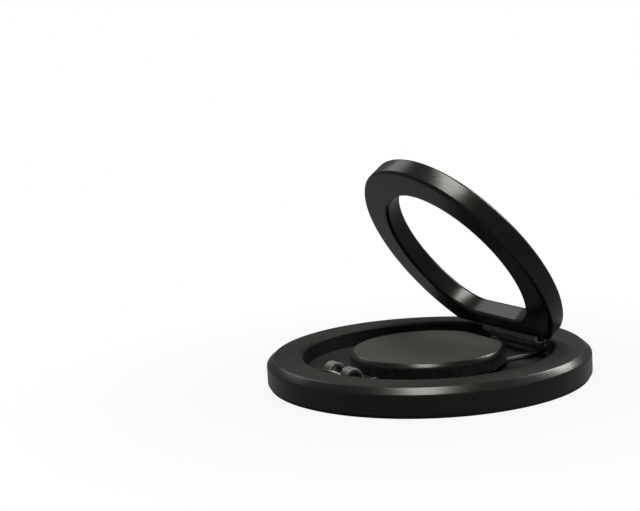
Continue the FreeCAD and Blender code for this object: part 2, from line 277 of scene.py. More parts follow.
def mark_edges(mesh: bpy.types.Mesh) -> None:
    """Keeps on each point how the surface bends there, for edge wear and for the sheet's painted edge
    highlight.

    The angle between a point's normal and the mean direction to its neighbours, in half turns, is 0.5
    on a flat, more on an edge and less in a hollow. It is then averaged over the point and its
    neighbours.

    Args:
        mesh: The mesh, which gets the values as an attribute.
    """
    count = len(mesh.vertices)
    at, normal = np.empty(count * 3, np.float32), np.empty(count * 3, np.float32)
    ends = np.empty(len(mesh.edges) * 2, np.int32)
    mesh.vertices.foreach_get("co", at)
    mesh.vertex_normals.foreach_get("vector", normal)
    mesh.edges.foreach_get("vertices", ends)
    pairs = ends.reshape(-1, 2)
    here, there = np.concatenate([pairs, pairs[:, ::-1]]).T
    points = at.reshape(-1, 3).astype(float)
    towards = unit(points[there] - points[here])
    neighbours = np.bincount(here, minlength=count)
    mean = np.stack([np.bincount(here, way, count) for way in towards.T], -1) / neighbours[:, None]
    bend = np.arccos(np.clip((normal.reshape(-1, 3) * mean).sum(-1), -1.0, 1.0)) / math.pi
    soft = (bend + np.bincount(here, bend[there], count)) / (neighbours + 1)
    mesh.attributes.new(EDGE_BEND, "FLOAT", "POINT").data.foreach_set("value", soft.astype(np.float32))


def new_object(name: str, data: bpy.types.ID) -> bpy.types.Object:
    """An object in the scene, for a mesh, a lamp or a camera."""
    made = bpy.data.objects.new(name, data)
    bpy.context.scene.collection.objects.link(made)
    return made


def make_piece(name: str, patches: Sequence[Patch]) -> bpy.types.Object:
    """Puts grids into one mesh, merges their shared points and turns their faces outwards.

    Edges that turn by more than the crease angle stay sharp.

    Args:
        name: Name of the new object.
        patches: The grids.

    Returns:
        The object, at the origin.
    """
    sizes = [p.points.shape[0] * p.points.shape[1] for p in patches]
    firsts = np.cumsum([0] + sizes[:-1])
    points = np.concatenate([p.points.reshape(-1, 3) for p in patches])
    quads = np.concatenate([p.quads(int(first)) for p, first in zip(patches, firsts)])
    mesh = bpy.data.meshes.new(name)
    mesh.from_pydata(points.tolist(), [], quads.tolist())
    shape = bmesh.new()
    shape.from_mesh(mesh)
    bmesh.ops.remove_doubles(shape, verts=shape.verts[:], dist=MERGE_DISTANCE)
    bmesh.ops.dissolve_degenerate(shape, dist=SLIVER_SIZE, edges=shape.edges[:])
    bmesh.ops.recalc_face_normals(shape, faces=shape.faces[:])
    shape.to_mesh(mesh)
    shape.free()
    mesh.shade_smooth()
    mesh.set_sharp_from_angle(angle=math.radians(CREASE))
    mark_edges(mesh)
    return new_object(name, mesh)


# Finishes


class Board:
    """A material's or world's node tree, with short calls to add and join nodes."""

    def __init__(self, tree: bpy.types.NodeTree) -> None:
        """Empties the tree."""
        self.tree = tree
        tree.nodes.clear()

    def node(self, kind: str, settings: dict | None = None, **sockets) -> Node:
        """Adds a node.

        Args:
            kind: The node's type, without its "ShaderNode" start.
            settings: Properties of the node.
            **sockets: Inputs by name, with _ for a space; an output is joined, a value is set.

        Returns:
            The node.
        """
        made = self.tree.nodes.new("ShaderNode" + kind)
        for key, value in (settings or {}).items():
            setattr(made, key, value)
        for key, value in sockets.items():
            self.feed(made.inputs[key.replace("_", " ")], value)
        return made

    def feed(self, socket: Socket, value: object) -> None:
        """Joins an output to a socket, or sets the socket's own value."""
        if isinstance(value, Socket):
            self.tree.links.new(value, socket)
        else:
            socket.default_value = value

    def object_points(self) -> Socket:
        """The place on the piece, in its own coordinates."""
        return self.node("TexCoord").outputs["Object"]

    def edge_bend(self) -> Socket:
        """How the surface bends: 0.5 on a flat, more on an edge."""
        return self.node("Attribute", {"attribute_name": EDGE_BEND}).outputs["Fac"]

    def scaled(self, points: Socket, scale: Triple) -> Socket:
        """Points with each coordinate multiplied by its own share."""
        return self.node("Mapping", Vector=points, Scale=scale).outputs[0]

    def height(self, points: Socket) -> Socket:
        """How high points lie."""
        return self.node("SeparateXYZ", Vector=points).outputs["Z"]

    def length(self, points: Socket) -> Socket:
        """How far points lie from the origin."""
        made = self.node("VectorMath", {"operation": "LENGTH"})
        self.feed(made.inputs[0], points)
        return made.outputs["Value"]

    def noise(self, points: Socket, cell: float, detail: float = 3.0, roughness: float = 0.5) -> Socket:
        """Cloudy noise from 0 to 1.

        Args:
            points: Where it is read.
            cell: Width of its patches.
            detail: Octaves of finer noise on top.
            roughness: Weight of the finer octaves.

        Returns:
            The noise's value.
        """
        return self.node("TexNoise", Vector=points, Scale=1.0 / cell, Detail=detail,
                         Roughness=roughness).outputs["Fac"]

    def spread(self, value: Socket, low: float, high: float, to_low: float, to_high: float) -> Socket:
        """Maps the range low to high onto to_low to to_high, and holds it there."""
        made = self.node("MapRange", Value=value, From_Min=low, From_Max=high, To_Min=to_low,
                         To_Max=to_high)
        return made.outputs["Result"]

    def blend(self, share: Socket, first: object, second: object) -> Socket:
        """A colour between two, by a share from 0 to 1."""
        mix = self.node("Mix", {"data_type": "RGBA"})
        for index, value in ((0, share), (6, first), (7, second)):
            self.feed(mix.inputs[index], value)
        return mix.outputs[2]

    def mottled(self, share: Socket, tone: Colour, limits: Pair) -> Socket:
        """A tone that wanders between two shades of itself, by a share from 0 to 1."""
        return self.blend(share, *(shaded(tone, limit) for limit in limits))

    def shader_mix(self, share: Socket, first: Node, second: Node) -> Node:
        """A shader between two, by a share from 0 to 1."""
        mix = self.node("MixShader", Fac=share)
        self.feed(mix.inputs[1], first.outputs[0])
        self.feed(mix.inputs[2], second.outputs[0])
        return mix

    def show(self, shader: Node, kind: str = "Material") -> None:
        """Joins a shader to the tree's output."""
        self.node("Output" + kind, Surface=shader.outputs[0])

    def math(self, operation: str, first: object, second: object) -> Socket:
        """The result of an operation on two numbers."""
        made = self.node("Math", {"operation": operation})
        self.feed(made.inputs[0], first)
        self.feed(made.inputs[1], second)
        return made.outputs[0]

    def bump(self, height: Socket, depth: float, strength: float, under: Socket | None = None) -> Socket:
        """A normal that follows a height map.

        Args:
            height: The map, from 0 to 1.
            depth: How far 0 and 1 are apart.
            strength: Share of the relief that shows.
            under: A normal that this relief lies on.

        Returns:
            The bumped normal.
        """
        made = self.node("Bump", Height=height, Distance=depth, Strength=strength)
        if under is not None:
            self.feed(made.inputs["Normal"], under)
        return made.outputs["Normal"]


def rgba(colour: Colour) -> tuple[float, float, float, float]:
    """A colour with full cover."""
    return (*colour, 1.0)


def shaded(colour: Colour, share: float) -> tuple[float, float, float, float]:
    """A colour made lighter or darker by a share."""
    return rgba(tuple(c * share for c in colour))


def new_material(name: str) -> tuple[bpy.types.Material, Board]:
    """A fresh material and its emptied node tree."""
    made = bpy.data.materials.new(name)
    made.use_nodes = True
    return made, Board(made.node_tree)


@dataclass(frozen=True)
class Finish(ABC):
    """What a piece is coated with.

    Attributes:
        name: Name of the material.
    """

    name: str

    def material(self) -> bpy.types.Material:
        """The finish as a Blender material."""
        made, board = new_material(self.name)
        board.show(self.shader(board, board.object_points()))
        return made

    @abstractmethod
    def shader(self, board: Board, points: Socket) -> Node:
        """Adds the finish's nodes, read at points of the piece, and gives its shader."""


@dataclass(frozen=True)
class SatinBlack(Finish):
    """Blasted and black anodised metal: fine grain, faint clouds of tone, edges rubbed lighter, and a
    dull face that can be painted a lighter black as painted light.

    Attributes:
        tone: The black itself.
        rubbed: Tone of the worn edges.
        worn_bend: Bends at which wear starts and is full.
        wear_patch: Width of the patches of wear.
        gloss: Roughness of the surface.
        grain: Width of a blasted pit.
        grain_depth: Its depth.
        cloud: Width of the clouds of tone.
        mottle: Darkest and lightest share of the tone.
        specular: Strength of the reflection straight on.
        sheen: Tint of the reflection.
        lathe_pitch: Distance between turning lines round Z, or 0 for none.
        lathe_depth: Their depth.
        matte_radius: Distance from Z within which the surface is left dull, or 0 for none.
        matte_height: Height from which it is left dull.
        matte_fade: Distances over which that ends outwards and downwards.
        matte: Roughness there.
        painted_face_light: A lighter black painted on the dull face, standing in for light falling on
            it, if it is another.
    """

    tone: Colour = (0.0086, 0.0088, 0.0074)
    rubbed: Colour = (0.05, 0.05, 0.046)
    worn_bend: Pair = (0.511, 0.518)
    wear_patch: float = 1.6 * MM
    gloss: float = 0.25
    grain: float = 0.11 * MM
    grain_depth: float = 0.012 * MM
    cloud: float = 9.0 * MM
    mottle: Pair = (0.82, 1.18)
    specular: float = 0.36
    sheen: Colour = (1.0, 1.0, 0.91)
    lathe_pitch: float = 0.0
    lathe_depth: float = 0.002 * MM
    matte_radius: float = 0.0
    matte_height: float = 0.0
    matte_fade: Pair = (0.3 * MM, 0.1 * MM)
    matte: float = 0.72
    painted_face_light: Colour | None = None

    def shader(self, board: Board, points: Socket) -> Node:
        """The anodised metal's shader."""
        clouds = board.noise(points, self.cloud, 4.0, 0.6)
        pits = board.noise(points, self.grain, 2.0, 0.55)
        tone = board.mottled(clouds, self.tone, self.mottle)
        wear = board.math("MULTIPLY", board.spread(board.edge_bend(), *self.worn_bend, 0.0, 0.5),
                          board.spread(board.noise(points, self.wear_patch), 0.35, 0.7, 0.2, 1.0))
        relief = board.bump(pits, self.grain_depth, 0.25)
        if self.lathe_pitch:
            # The wave texture repeats every pi / 10 when its scale is 1.
            lines = board.node("TexWave", {"wave_type": "RINGS", "rings_direction": "Z"}, Vector=points,
                               Scale=math.pi / 10 / self.lathe_pitch, Distortion=0.4)
            relief = board.bump(lines.outputs["Fac"], self.lathe_depth, 0.25, relief)
        rough = board.spread(board.math("ADD", clouds, pits), 0.6, 1.4, self.gloss - 0.04,
                             self.gloss + 0.05)
        if self.matte_radius:
            dull = self.dull_face(board, points)
            rough = board.math("MAXIMUM", rough, board.math("MULTIPLY", dull, self.matte))
            # Painted light: the dull face gets a lighter black that stands in for light falling on it.
            if self.painted_face_light:
                tone = board.blend(dull, tone, board.mottled(clouds, self.painted_face_light, self.mottle))
        return board.node("BsdfPrincipled", Base_Color=board.blend(wear, tone, rgba(self.rubbed)),
                          Roughness=rough, Specular_IOR_Level=self.specular,
                          Specular_Tint=rgba(self.sheen), Normal=relief)

    def dull_face(self, board: Board, points: Socket) -> Socket:
        """1 on the dull face, within its radius and above its height, and 0 elsewhere."""
        away = board.length(board.scaled(points, (1.0, 1.0, 0.0)))
        out, down = self.matte_fade
        inside = board.spread(away, self.matte_radius, self.matte_radius + out, 1.0, 0.0)
        top = self.matte_height
        above = board.spread(board.height(points), top - down, top, 0.0, 1.0)
        return board.math("MULTIPLY", inside, above)


@dataclass(frozen=True)
class PlatedMetal(Finish):
    """Bare or plated metal with fine drawn lines and a little stain.

    Attributes:
        tone: Colour of the metal.
        gloss: Roughness of the surface.
        lines: Width of a drawn line.
        stretch: How many times longer than wide the lines are, along X.
        line_depth: Their depth.
        stain: Width of the stains.
        mottle: Darkest and lightest share of the tone.
    """

    tone: Colour
    gloss: float = 0.3
    lines: float = 0.08 * MM
    stretch: float = 14.0
    line_depth: float = 0.004 * MM
    stain: float = 2.5 * MM
    mottle: Pair = (0.78, 1.1)

    def shader(self, board: Board, points: Socket) -> Node:
        """The plated metal's shader."""
        drawn = board.noise(board.scaled(points, (1 / self.stretch, 1.0, 1.0)), self.lines, 3.0, 0.6)
        tone = board.mottled(board.noise(points, self.stain, 4.0), self.tone, self.mottle)
        rough = board.spread(drawn, 0.3, 0.7, self.gloss - 0.07, self.gloss + 0.08)
        return board.node("BsdfPrincipled", Base_Color=tone, Metallic=1.0, Roughness=rough,
                          Normal=board.bump(drawn, self.line_depth, 0.3))


@dataclass(frozen=True)
class RolledSteel(Finish):
    """Coated steel sheet, painted lighter with height where it rises into rolls: painted light on rolls
    that sit in shade.

    Attributes:
        coat: Tone of the flat sheet.
        painted_roll_light: Painted light: the lighter tone of the rolls, standing in for light falling
            on them.
        rubbed: Tone of the edges, partly wear and partly painted highlight.
        worn_bend: Bends at which the edges' wear and painted highlight start and are full.
        wear_patch: Width of the patches of wear and of the painted light on the rolls.
        flat_height: Height up to which no painted light is added to the sheet.
        rolled_height: Height from which the painted light on the rolls is full.
        gloss: Roughness of the surface.
        specular: Strength of the reflection straight on.
        lines: Width of a draw line.
        stretch: How many times longer than wide the lines are, along X.
        line_depth: Their depth.
    """

    coat: Colour = (0.018, 0.018, 0.0168)
    # Painted light: a lighter tone for the rolls that stands in for light falling on them.
    painted_roll_light: Colour = (0.3, 0.3, 0.282)
    rubbed: Colour = (0.46, 0.46, 0.43)
    worn_bend: Pair = (0.517, 0.53)
    wear_patch: float = 1.8 * MM
    flat_height: float = 3.4 * MM
    rolled_height: float = 6.0 * MM
    gloss: float = 0.38
    specular: float = 0.45
    lines: float = 0.15 * MM
    stretch: float = 5.0
    line_depth: float = 0.004 * MM

    def shader(self, board: Board, points: Socket) -> Node:
        """The coated sheet's shader."""
        # Painted light: the share of the lighter tone grows with height, so the rolls look lit where
        # they sit in shade.
        rolled = board.spread(board.height(points), self.flat_height, self.rolled_height, 0.0, 1.0)
        drawn = board.noise(board.scaled(points, (1 / self.stretch, 1.0, 1.0)), self.lines, 3.0, 0.6)
        # Patches that vary both the wear on the edges and the painted light on the rolls.
        worn = board.spread(board.noise(points, self.wear_patch, 4.0), 0.3, 0.7, 0.55, 1.0)
        tone = board.blend(board.math("MULTIPLY", rolled, worn), rgba(self.coat), rgba(self.painted_roll_light))
        # Lighter edges: partly wear, partly painted highlight where the rounded edges catch too little
        # light.
        edges = board.spread(board.edge_bend(), *self.worn_bend, 0.0, 1.0)
        tone = board.blend(board.math("MULTIPLY", edges, worn), tone, rgba(self.rubbed))
        rough = board.spread(drawn, 0.3, 0.7, self.gloss - 0.06, self.gloss + 0.08)
        return board.node("BsdfPrincipled", Base_Color=tone, Roughness=rough,
                          Specular_IOR_Level=self.specular,
                          Normal=board.bump(drawn, self.line_depth, 0.35))


@dataclass(frozen=True)
class SoftSilicone(Finish):
    """Matte silicone with a fine pebbled skin and a trace of dust.

    Attributes:
        tone: Colour of the silicone.
        pebble: Width of a pebble.
        pebble_depth: How far the pebbles stand out.
        dust: Width of the patches of dust.
        dusty: How many times lighter than the tone the dust is.
    """

    tone: Colour = (0.022, 0.022, 0.023)
    pebble: float = 0.45 * MM
    pebble_depth: float = 0.03 * MM
    dust: float = 5.0 * MM
    dusty: float = 2.4

    def shader(self, board: Board, points: Socket) -> Node:
        """The silicone's shader."""
        cells = board.node("TexVoronoi", Vector=points, Scale=1.0 / self.pebble)
        dust = board.spread(board.noise(points, self.dust, 5.0, 0.65), 0.45, 0.8, 0.0, 0.25)
        tone = board.mottled(dust, self.tone, (1.0, self.dusty))
        rough = board.spread(cells.outputs["Distance"], 0.0, 0.6, 0.56, 0.72)
        relief = board.bump(cells.outputs["Distance"], self.pebble_depth, 0.5)
        return board.node("BsdfPrincipled", Base_Color=tone, Roughness=rough, Normal=relief,
                          Specular_IOR_Level=0.35)


@dataclass(frozen=True)
class MouldedPlastic(Finish):
    """Moulded plastic or printed ink with faint mottling.

    Attributes:
        tone: Its colour.
        gloss: Roughness of the surface.
        fleck: Width of the mottling.
        fleck_depth: How far it stands out.
        mottle: Darkest and lightest share of the tone.
    """

    tone: Colour
    gloss: float = 0.45
    fleck: float = 0.3 * MM
    fleck_depth: float = 0.006 * MM
    mottle: Pair = (0.86, 1.08)

    def shader(self, board: Board, points: Socket) -> Node:
        """The plastic's or the ink's shader."""
        flecks = board.noise(points, self.fleck, 4.0, 0.6)
        tone = board.mottled(flecks, self.tone, self.mottle)
        rough = board.spread(flecks, 0.3, 0.7, self.gloss - 0.06, self.gloss + 0.08)
        return board.node("BsdfPrincipled", Base_Color=tone, Roughness=rough,
                          Normal=board.bump(flecks, self.fleck_depth, 0.4))


BODY_BLACK = SatinBlack("body_black", matte_radius=27.5 * MM)
# The hub's top face is painted a lighter black than its sides and bevel: painted light on the top.
HUB_BLACK = SatinBlack("hub_black", lathe_pitch=0.35 * MM, matte_radius=13.1 * MM,
                       matte_height=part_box("hub_cap")[1].z - 0.1 * MM, matte=0.6,
                       painted_face_light=(0.037, 0.0376, 0.0326))
RING_BLACK = SatinBlack("ring_black", gloss=0.24)
SHEET_STEEL = RolledSteel("sheet_steel")
PIN_STEEL = PlatedMetal("pin_steel", (0.09, 0.09, 0.088), 0.34)
PAD_SILICONE = SoftSilicone("pad_silicone")
MAGNET_NICKEL = PlatedMetal("magnet_nickel", (0.62, 0.60, 0.56), 0.2, 0.2 * MM, 1.0)
SHUNT_ZINC = PlatedMetal("shunt_zinc", (0.52, 0.53, 0.55), 0.38)
SPRING_STEEL = PlatedMetal("spring_steel", (0.42, 0.42, 0.43), 0.28)
SCREW_STEEL = PlatedMetal("screw_steel", (0.38, 0.38, 0.39), 0.32)
SLIDE_ACETAL = MouldedPlastic("slide_acetal", (0.74, 0.73, 0.69))
MARK_INK = MouldedPlastic("mark_ink", (0.34, 0.34, 0.33), 0.5, 0.12 * MM)


def hand_over(piece: bpy.types.Object, finish: Finish, body: str, slot: str, *nodes: str) -> None:
    """Dresses a new piece, fixes it to its body and lets it stand for CAD nodes.

    Args:
        piece: The new piece.
        finish: What it is coated with.
        body: The CAD body that it moves with.
        slot: The record's material slot for its finish; not used.
        *nodes: The CAD nodes that it stands for.
    """
    piece.data.materials.append(finish.material())
    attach(piece, body)
    if nodes:
        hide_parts(*nodes)
    log.info("%s: %d faces on %s", piece.name, len(piece.data.polygons), body)


# Sub-assemblies


@dataclass
class BaseDisc:
    """The disc that clings to the phone: rim, recess, magnet channel, swivel post and soft pad.

    The outer sizes come from the CAD nodes; the fields are what can't be read from their boxes.
    """

    rim_width: float = 6.5 * MM
    rim_bevel_width: float = 1.3 * MM
    rim_bevel_drop: float = 1.1 * MM
    recess_bevel: float = 0.4 * MM
    channel_wall: float = 0.8 * MM
    channel_play: float = 0.1 * MM
    post_radius: float = 4.0 * MM
    screw_radius: float = 1.25 * MM
    edge: float = 0.25 * MM
    pad_edge: float = 0.2 * MM

    def build(self) -> None:
        """Makes the shell and the pad."""
        self.shell()
        self.pad()

    def shell(self) -> None:
        """Turns the shell's profile, with its visible edges rounded, about the swivel axis."""
        low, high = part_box("base_shell")
        shunt_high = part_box("shunt_ring")[1]
        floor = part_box("thrust_washer")[0].z
        post_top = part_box("disc_spring")[1].z
        screw_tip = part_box("pivot_screw")[0].z
        radius, top, under = high.x, high.z, low.z
        recess = radius - self.rim_width
        channel_bore = recess + self.channel_wall
        channel_radius = shunt_high.x + self.channel_play
        hole_end = screw_tip - self.channel_play
        edge, fine = self.edge, self.edge / 3
        corners = [
            ((0, under), 0), ((channel_bore, under), 0), ((channel_bore, shunt_high.z), 0),
            ((channel_radius, shunt_high.z), 0), ((channel_radius, under), 0),
            ((radius, under), fine), ((radius, top - self.rim_bevel_drop), edge),
            ((radius - self.rim_bevel_width, top), edge), ((recess + self.recess_bevel, top), fine),
            ((recess, top - self.recess_bevel), fine), ((recess, floor), edge),
            ((self.post_radius, floor), fine), ((self.post_radius, post_top), fine),
            ((self.screw_radius, post_top), 0), ((self.screw_radius, hole_end), 0), ((0, hole_end), 0),
        ]
        profile = rounded([at for at, _ in corners], [size for _, size in corners])
        shell = make_piece("base_disc", [turned(profile, steps=DISC_STEPS)])
        hand_over(shell, BODY_BLACK, "base", "black_body", "base_shell")

    def pad(self) -> None:
        """Turns the pad's profile, with its lower edge rounded, about the swivel axis."""
        low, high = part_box("contact_pad")
        corners = [(0, low.z), (high.x, low.z), (high.x, high.z), (0, high.z)]
        profile = rounded(corners, [0, self.pad_edge, self.pad_edge / 4, 0])
        pad = make_piece("soft_pad", [turned(profile, steps=DISC_STEPS)])
        hand_over(pad, PAD_SILICONE, "base", "soft_pad", "contact_pad")


@dataclass
class HubCap:
    """The cap over the swivel: a disc with one flat side, a bevelled top edge and a hollow below."""

    bevel: float = 0.7 * MM
    corner: float = 1.0 * MM
    edge: float = 0.25 * MM
    hollow_play: float = 0.8 * MM
    head_play: float = 0.4 * MM
    stake_circle: float = 10.0 * MM
    stake_radius: float = 0.8 * MM
    least_corner: float = 0.15 * MM

    def build(self) -> None:
        """Stacks outlines down the hollow to the foot, then up the side and over the bevel."""
        low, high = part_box("hub_cap")
        screw_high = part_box("pivot_screw")[1]
        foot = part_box("swivel_plate")[0].z + SHEET_THICKNESS
        side = rounded([(0, foot), (0, high.z - self.bevel), (self.bevel, high.z),
                        (3 * self.bevel, high.z)], [0, self.edge, self.edge, 0])
        outside = [self.outline(inset) for inset in side[:, 0]]
        around = np.arctan2(outside[0][:, 1], outside[0][:, 0])
        circle = (screw_high.x + self.hollow_play) * np.stack([np.cos(around), np.sin(around)], -1)
        roof = screw_high.z + self.head_play
        rings = np.stack([circle, circle] + outside)
        heights = np.concatenate([[roof, foot], side[:, 1]])
        stake = rounded([(0, low.z), (self.stake_radius, low.z), (self.stake_radius, foot), (0, foot)],
                        [0, self.edge / 2, 0, 0])
        stakes = [turned(stake, steps=48).moved(Matrix.Translation((x, 0, 0)))
                  for x in (self.stake_circle, -self.stake_circle)]
        cap = make_piece("swivel_cap", [loops(rings, heights), *stakes])
        hand_over(cap, HUB_BLACK, "swivel", "black_hub", "hub_cap")

    def outline(self, inset: float) -> Array:
        """The cap's outline, drawn in by a distance."""
        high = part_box("hub_cap")[1]
        return d_outline(high.x - inset, high.y - inset, max(self.corner - inset, self.least_corner))


@dataclass
class SwivelSheet:
    """The stamped sheet under the hub, rolled into hinge ears on one side and a rest on the other."""

    hinge: Vector
    sheet: float = SHEET_THICKNESS
    disc_radius: float = 13.2 * MM
    bore: float = 4.05 * MM
    bend: float = 0.8 * MM
    barrel_radius: float = BARREL_RADIUS
    ear_inner: float = 5.0 * MM
    gap_below: float = 1.75 * MM
    roll_end: float = 295.0
    rest_half: float = 4.0 * MM
    rest_radius: float = 1.6 * MM
    rest_rise: float = 1.3 * MM
    rest_tail: float = 0.9 * MM
    window_half: float = 1.8 * MM
    window_sill: float = 0.4 * MM
    edge: float = 0.12 * MM
    root: float = 11.0 * MM
    lap: float = 0.3 * MM

    def __post_init__(self) -> None:
        """Reads the sheet's box and the height of its flat's middle."""
        self.low, self.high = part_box("swivel_plate")
        self.middle = self.low.z + self.sheet / 2

    def build(self) -> None:
        """Joins the disc, the hinge arm with its ears and the rest into one sheet."""
        under, over = self.low.z, self.low.z + self.sheet
        disc = rounded([(self.bore, under), (self.disc_radius, under), (self.disc_radius, over),
                        (self.bore, over)], [self.edge] * 4, closed=True)
        sheet = make_piece("hinge_sheet", [turned(disc, closed=True), *self.hinge_arm(), *self.rest()])
        hand_over(sheet, SHEET_STEEL, "swivel", "black_steel", "swivel_plate")

    def hinge_arm(self) -> list[Patch]:
        """The arm that runs out under the hinge and turns up, and its two ears, rolled round the pin."""
        half_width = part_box("hinge_pin")[1].x
        riser = self.high.y - self.sheet / 2
        turn = arc_path((riser - self.bend, self.middle + self.bend), self.bend, -90, 0, 12)
        shoulder = self.hinge.z - self.gap_below
        arm = np.concatenate([[(self.root, self.middle)], turn, [(riser, shoulder)]])
        roll_radius = self.barrel_radius - self.sheet / 2
        roll = arc_path((self.hinge.y, self.hinge.z), roll_radius, 0, self.roll_end, 72)
        ear = np.concatenate([[(riser, shoulder - self.lap)], roll])
        return [*self.strips(arm, (-half_width, half_width)),
                *self.strips(ear, (self.ear_inner, half_width), (-half_width, -self.ear_inner))]

    def rest(self) -> list[Patch]:
        """The rest: a leg that turns up, two arches that roll over and the tail that joins them."""
        roll_y = self.low.y + self.rest_radius
        roll_z = self.low.z + self.rest_rise
        radius = self.rest_radius - self.sheet / 2
        leg_y, tail_y = roll_y + radius, roll_y - radius
        sill = roll_z + self.window_sill
        turn = arc_path((leg_y + self.bend, self.middle + self.bend), self.bend, -90, -180, 12)
        leg = np.concatenate([[(-self.root, self.middle)], turn, [(leg_y, sill)]])
        arch = np.concatenate([[(leg_y, roll_z - self.lap)],
                               arc_path((roll_y, roll_z), radius, 0, 180, 48),
                               [(tail_y, roll_z - self.lap)]])
        tail = np.array([(tail_y, roll_z - self.rest_tail), (tail_y, sill)])
        out, window = self.rest_half, self.window_half
        return [*self.strips(leg, (-out, out)), *self.strips(arch, (window, out), (-out, -window)),
                *self.strips(tail, (-out, out))]

    def strips(self, path: Array, *spans: Pair) -> list[Patch]:
        """Strips of the sheet along one path, each between two x."""
        return [bent_strip(path, low, high, self.sheet, self.edge) for low, high in spans]


@dataclass
class HingePin:
    """The pin through the hinge, with a chamfer and a centre mark at each end."""

    chamfer: float = 0.12 * MM
    dimple: float = 0.3 * MM

    def build(self) -> None:
        """Turns the pin's profile about the hinge axis."""
        low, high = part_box("hinge_pin")
        radius = (high.z - low.z) / 2
        sunk = high.x - self.dimple / 2
        side = [(0, sunk), (self.dimple, high.x), (radius, high.x), (radius, -high.x),
                (self.dimple, -high.x), (0, -sunk)]
        profile = rounded(side, [0, *[self.chamfer] * 4, 0])
        place = Matrix.Translation((0, (low.y + high.y) / 2, (low.z + high.z) / 2))
        pin = make_piece("hinge_rod", [turned(profile, Turn.HINGE, 64).moved(place)])
        hand_over(pin, PIN_STEEL, "swivel", "pin_steel", "hinge_pin")


@dataclass
class FoldRing:
    """The D-shaped ring, its knuckle on the hinge and the pointer printed on its face.

    It is worked out lying flat with the hinge axis on X through the origin, then placed open.
    """

    hinge: Vector
    opening: float = 54.0
    band: float = 5.9 * MM
    setback: float = 2.2 * MM
    bar: float = 3.5 * MM
    thickness: float = 3.8 * MM
    lift: float = 0.1 * MM
    bevel: float = 0.4 * MM
    corner: float = 1.5 * MM
    bore_corner: float = 9.0 * MM
    edge: float = 0.16 * MM
    barrel_radius: float = BARREL_RADIUS
    knuckle_half: float = 4.7 * MM
    pin_hole: float = 0.75 * MM
    web: float = 1.5 * MM
    web_start: float = 0.9 * MM
    mark_width: float = 3.0 * MM
    mark_height: float = 2.4 * MM
    mark_corner: float = 0.12 * MM
    mark_print: float = 0.015 * MM

    def __post_init__(self) -> None:
        """Works out shared sizes and the matrix that opens the ring."""
        self.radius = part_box("fold_ring")[1].x
        self.flat = self.hinge.y - self.setback
        self.top = self.lift + self.thickness / 2
        self.under = self.lift - self.thickness / 2
        opened = Matrix.Rotation(-math.radians(self.opening), 4, "X")
        self.place = Matrix.Translation(self.hinge) @ opened

    def build(self) -> None:
        """Makes the ring, its knuckle and the pointer."""
        bands = [self.hoop().moved(self.place), self.hinge_web().moved(self.place)]
        grip = make_piece("ring_grip", bands)
        knuckle = make_piece("ring_knuckle", [self.knuckle().moved(self.place)])
        mark = make_piece("ring_pointer", [self.pointer().moved(self.place)])
        hand_over(grip, RING_BLACK, "ring", "black_ring", "fold_ring")
        hand_over(knuckle, SHEET_STEEL, "ring", "black_steel")
        hand_over(mark, MARK_INK, "ring", "black_ring")

    def rim(self, inset: float) -> Array:
        """The outer outline drawn in by a distance, round the ring's own middle."""
        return d_outline(self.radius - inset, self.flat - inset, self.corner - inset)

    def bore(self, inset: float) -> Array:
        """The inner outline widened by a distance, round the ring's own middle."""
        radius, flat = self.radius - self.band, self.flat - self.bar
        return d_outline(radius + inset, flat + inset, self.bore_corner + inset)

    def hoop(self) -> Patch:
        """Carries the ring's section round its outlines.

        The section runs down the outer side, along the underside, up the inner side and back over the
        top, with a bevel and a small rounding at each corner.

        Returns:
            The ring, closed both ways.
        """
        bevel, face = self.bevel, 3 * self.bevel
        side = [(face, self.top), (bevel, self.top), (0, self.top - bevel), (0, self.under + bevel),
                (bevel, self.under), (face, self.under)]
        rounds = [0, *[self.edge] * 4, 0]
        outer, inner = rounded(side, rounds), rounded(side[::-1], rounds)
        outlines = [self.rim(inset) for inset in outer[:, 0]]
        outlines += [self.bore(inset) for inset in inner[:, 0]]
        hoop = loops(np.stack(outlines), np.concatenate([outer[:, 1], inner[:, 1]]), poles=False)
        return hoop.moved(Matrix.Translation((0, -self.hinge.y, 0)))

    def knuckle(self) -> Patch:
        """The knuckle: a tube round the hinge axis with rounded rims."""
        half = self.knuckle_half
        wall = [(self.pin_hole, -half), (self.barrel_radius, -half), (self.barrel_radius, half),
                (self.pin_hole, half)]
        return turned(rounded(wall, [self.edge / 2, self.edge, self.edge, self.edge / 2], closed=True),
                      Turn.HINGE, 96, True)

    def hinge_web(self) -> Patch:
        """The web that carries the knuckle, from the hinge into the ring's straight side."""
        path = np.linspace((-self.web_start, 0), (-self.setback - self.bar / 2, 0), 8)
        return bent_strip(path, -self.knuckle_half, self.knuckle_half, self.web, self.edge)

    def pointer(self) -> Patch:
        """A small printed triangle on the band, pointing to the ring's middle."""
        middle = -(self.hinge.y + self.radius - self.band / 2)
        half, tall = self.mark_width / 2, self.mark_height / 2
        outline = rounded([(-half, middle - tall), (half, middle - tall), (0, middle + tall)],
                          [self.mark_corner] * 3, closed=True)
        rings = np.stack([outline, outline])
        return loops(rings, np.array([self.top - self.mark_print, self.top + self.mark_print]))


@dataclass
class HiddenPieces:
    """The CAD nodes that stay as they are and only get their finish."""

    finishes: tuple[tuple[str, Finish], ...] = (
        ("magnet_", MAGNET_NICKEL),
        ("shunt_ring", SHUNT_ZINC),
        ("thrust_washer", SLIDE_ACETAL),
        ("disc_spring", SPRING_STEEL),
        ("pivot_screw", SCREW_STEEL),
        ("friction_washer_", SPRING_STEEL),
    )

    def build(self) -> None:
        """Puts each finish on the nodes whose names start with its word."""
        for start, finish in self.finishes:
            coat = finish.material()
            for name, node in frame["nodes"].items():
                if name.startswith(start):
                    node.data.materials.clear()
                    node.data.materials.append(coat)
                    log.info("%s: %s", name, finish.name)


# Studio


